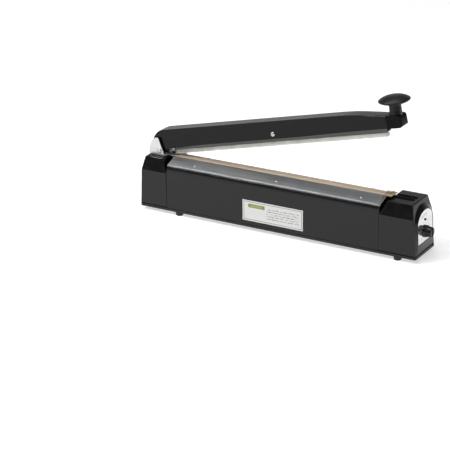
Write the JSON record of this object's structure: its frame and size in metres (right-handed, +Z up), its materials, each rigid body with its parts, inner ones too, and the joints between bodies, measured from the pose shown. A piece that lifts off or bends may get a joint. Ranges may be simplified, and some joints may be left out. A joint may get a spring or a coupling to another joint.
{
  "type": "impulse heat sealer",
  "caption": "Hand impulse heat sealer with a hinged press arm, mushroom knob, cloth-covered sealing bed and a timer dial on one end.",
  "frame": {"origin": "on the surface it stands on, under the middle of its overall length and depth", "axes": "+X along the sealer from the hinge end to the timer end, +Y towards the rear, +Z up"},
  "size_m": [0.5352, 0.076, 0.2646],
  "materials": {
    "black_paint": "semi-gloss black stove enamel on metal",
    "black_plastic": "fine-grained black moulding",
    "rubber": "matt black rubber",
    "aluminium": "satin extruded aluminium",
    "zinc": "bright zinc-plated steel sheet",
    "steel": "plated steel",
    "chrome": "bright plated spring wire",
    "silicone": "off-white silicone rubber",
    "cloth": "tan PTFE-coated glass cloth",
    "phenolic": "brown phenolic board",
    "glass_tape": "woven glass tape",
    "nichrome": "drawn nickel-chrome ribbon",
    "core_steel": "varnished steel laminations",
    "coil_tape": "yellow coil tape over wire",
    "board": "green circuit board",
    "relay_blue": "blue relay case",
    "dial_white": "polished silver printed plate",
    "plate_silver": "silver printed plate",
    "lamp": "dark red lens"
  },
  "bodies": {
    "base": {"base_casing": "black_paint", "bottom_tray": "black_paint", "bracket_screw_1": "steel", "bracket_screw_2": "steel", "clamp_screw_front_1": "steel", "clamp_screw_front_2": "steel", "clamp_screw_front_3": "steel", "clamp_screw_rear_1": "steel", "clamp_screw_rear_2": "steel", "clamp_screw_rear_3": "steel", "cloth_clamp_front": "aluminium", "cloth_clamp_rear": "aluminium", "cord_gland": "black_plastic", "dial_bezel": "black_plastic", "dial_plate": "dial_white", "foot_left_front": "rubber", "foot_left_rear": "rubber", "foot_right_front": "rubber", "foot_right_rear": "rubber", "foot_screw_left_front": "steel", "foot_screw_left_rear": "steel", "foot_screw_right_front": "steel", "foot_screw_right_rear": "steel", "heating_element": "nichrome", "hinge_bracket": "zinc", "hinge_pin": "steel", "hinge_washer_front": "steel", "hinge_washer_rear": "steel", "indicator_lamp": "lamp", "insulating_tape": "glass_tape", "left_end_block": "black_paint", "lift_spring": "chrome", "micro_switch": "black_plastic", "potentiometer": "steel", "potentiometer_nut": "steel", "ptfe_cloth": "cloth", "rating_plate": "plate_silver", "right_end_block": "black_paint", "sealing_bed": "aluminium", "terminal_block_left": "phenolic", "terminal_block_right": "phenolic", "terminal_screw_left": "steel", "terminal_screw_right": "steel", "timer_board": "board", "timer_relay": "relay_blue", "transformer_coil": "coil_tape", "transformer_core": "core_steel", "tray_screw_front": "steel", "tray_screw_rear": "steel"},
    "arm": {"arm_channel": "black_paint", "arm_nose": "black_plastic", "press_knob": "black_plastic", "knob_screw": "steel", "spring_seat": "steel", "bar_pin": "steel"},
    "pressure_bar": {"pressure_bar": "aluminium", "silicone_strip": "silicone"},
    "dial": {"dial_knob": "black_plastic", "potentiometer_shaft": "steel"},
    "switch": {"switch_plunger": "black_plastic"}
  },
  "joints": [
    {"name": "arm_hinge", "type": "hinge", "parent": "base", "child": "arm", "pos_m": [-0.2373, 0, 0.105], "axis": [0, 1, 0], "range_deg": [0, 12.3], "stiffness_Nm_per_rad": 3, "springref_deg": -57.3, "deforming": ["lift_spring"]},
    {"name": "pressure_bar_rock", "type": "hinge", "parent": "arm", "child": "pressure_bar", "pos_m": [-0.01684, 0, 0.16821], "axis": [0, 1, 0], "range_deg": [-0.05, 1.2]},
    {"name": "timer_dial", "type": "hinge", "parent": "base", "child": "dial", "pos_m": [0.2547, 0, 0.0447], "axis": [1, 0, 0], "range_deg": [-135, 135]},
    {"name": "switch_stroke", "type": "slide", "parent": "base", "child": "switch", "axis": [0, 0, -1], "range_m": [0, 0.0045]}
  ],
  "couplings": [
    {"joint": "pressure_bar_rock", "follows": "arm_hinge", "ratio": 0.08455},
    {"joint": "switch_stroke", "follows": "arm_hinge", "m_per_rad": 0.01954}
  ]
}
